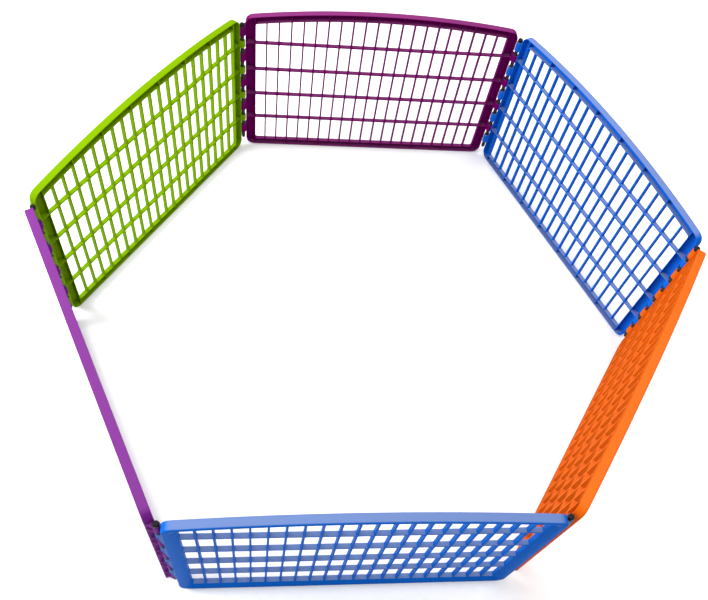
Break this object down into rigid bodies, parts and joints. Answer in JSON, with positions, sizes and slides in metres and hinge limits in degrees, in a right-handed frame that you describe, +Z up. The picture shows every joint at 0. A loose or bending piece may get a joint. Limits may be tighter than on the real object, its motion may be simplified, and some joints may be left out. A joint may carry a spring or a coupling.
{
  "type": "playpen",
  "caption": "Free-standing folding playpen: a ring of arched plastic lattice panels in mixed colours, joined by interleaved knuckles and lift-out black hinge rods.",
  "frame": {"origin": "on the floor at the centre of the ring, which is the centre of its footprint", "axes": "+Z up; +X along the front panel, to the right for someone who faces the pen from the front; the front panel faces -Y"},
  "size_m": [1.8706, 1.6486, 0.6145],
  "materials": {
    "front_plastic": "sky blue injection-moulded polypropylene, satin with a fine grain",
    "left_plastic": "violet injection-moulded polypropylene, satin with a fine grain",
    "back_left_plastic": "lime green injection-moulded polypropylene, satin with a fine grain",
    "back_plastic": "plum injection-moulded polypropylene, satin with a fine grain",
    "back_right_plastic": "royal blue injection-moulded polypropylene, satin with a fine grain",
    "right_plastic": "orange injection-moulded polypropylene, satin with a fine grain",
    "rod_steel": "black powder-coated steel tube",
    "rod_end_plastic": "black moulded nylon",
    "pad_rubber": "matt grey-black rubber"
  },
  "bodies": {
    "front_panel": {"panel_front": "front_plastic", "pads_front": "pad_rubber"},
    "left_panel": {"panel_left": "left_plastic", "pads_left": "pad_rubber"},
    "back_left_panel": {"panel_back_left": "back_left_plastic", "pads_back_left": "pad_rubber"},
    "back_panel": {"panel_back": "back_plastic", "pads_back": "pad_rubber"},
    "back_right_panel": {"panel_back_right": "back_right_plastic", "pads_back_right": "pad_rubber"},
    "right_panel": {"panel_right": "right_plastic", "pads_right": "pad_rubber"},
    "front_left_rod": {"rod_front_left": "rod_steel", "cap_front_left": "rod_end_plastic", "tip_front_left": "rod_end_plastic"},
    "left_rod": {"rod_left": "rod_steel", "cap_left": "rod_end_plastic", "tip_left": "rod_end_plastic"},
    "back_left_rod": {"rod_back_left": "rod_steel", "cap_back_left": "rod_end_plastic", "tip_back_left": "rod_end_plastic"},
    "back_right_rod": {"rod_back_right": "rod_steel", "cap_back_right": "rod_end_plastic", "tip_back_right": "rod_end_plastic"},
    "right_rod": {"rod_right": "rod_steel", "cap_right": "rod_end_plastic", "tip_right": "rod_end_plastic"},
    "front_right_rod": {"rod_front_right": "rod_steel", "cap_front_right": "rod_end_plastic", "tip_front_right": "rod_end_plastic"}
  },
  "joints": [
    {"name": "front_left_hinge", "type": "hinge", "parent": "front_panel", "child": "left_panel", "pos_m": [-0.53326, -0.80076, 0], "axis": [0, 0, 1], "range_deg": [-107, 65]},
    {"name": "left_hinge", "type": "hinge", "parent": "left_panel", "child": "back_left_panel", "pos_m": [-0.91832, 0.04028, 0], "axis": [0, 0, 1], "range_deg": [-33.68, 55.42]},
    {"name": "back_left_hinge", "type": "hinge", "parent": "back_left_panel", "child": "back_panel", "pos_m": [-0.39174, 0.80076, 0], "axis": [0, 0, 1], "range_deg": [-31.42, 51.68]},
    {"name": "front_right_hinge", "type": "hinge", "parent": "front_panel", "child": "right_panel", "pos_m": [0.39174, -0.80076, 0], "axis": [0, 0, 1], "range_deg": [-51.68, 31.42]},
    {"name": "right_hinge", "type": "hinge", "parent": "right_panel", "child": "back_right_panel", "pos_m": [0.91832, -0.04028, 0], "axis": [0, 0, 1], "range_deg": [-55.42, 33.68]},
    {"name": "front_left_rod_lift", "type": "slide", "parent": "left_panel", "child": "front_left_rod", "axis": [0, 0, 1], "range_m": [0, 0.51]},
    {"name": "left_rod_lift", "type": "slide", "parent": "back_left_panel", "child": "left_rod", "axis": [0, 0, 1], "range_m": [0, 0.51]},
    {"name": "back_left_rod_lift", "type": "slide", "parent": "back_panel", "child": "back_left_rod", "axis": [0, 0, 1], "range_m": [0, 0.51]},
    {"name": "back_right_rod_lift", "type": "slide", "parent": "back_right_panel", "child": "back_right_rod", "axis": [0, 0, 1], "range_m": [0, 0.51]},
    {"name": "right_rod_lift", "type": "slide", "parent": "right_panel", "child": "right_rod", "axis": [0, 0, 1], "range_m": [0, 0.51]},
    {"name": "front_right_rod_lift", "type": "slide", "parent": "front_panel", "child": "front_right_rod", "axis": [0, 0, 1], "range_m": [0, 0.51]}
  ],
  "couplings": [
    {"joint": "left_hinge", "follows": "front_left_hinge", "ratio": -0.51745},
    {"joint": "back_left_hinge", "follows": "front_left_hinge", "ratio": -0.48255},
    {"joint": "front_right_hinge", "follows": "front_left_hinge", "ratio": 0.48255},
    {"joint": "right_hinge", "follows": "front_left_hinge", "ratio": 0.51745}
  ]
}
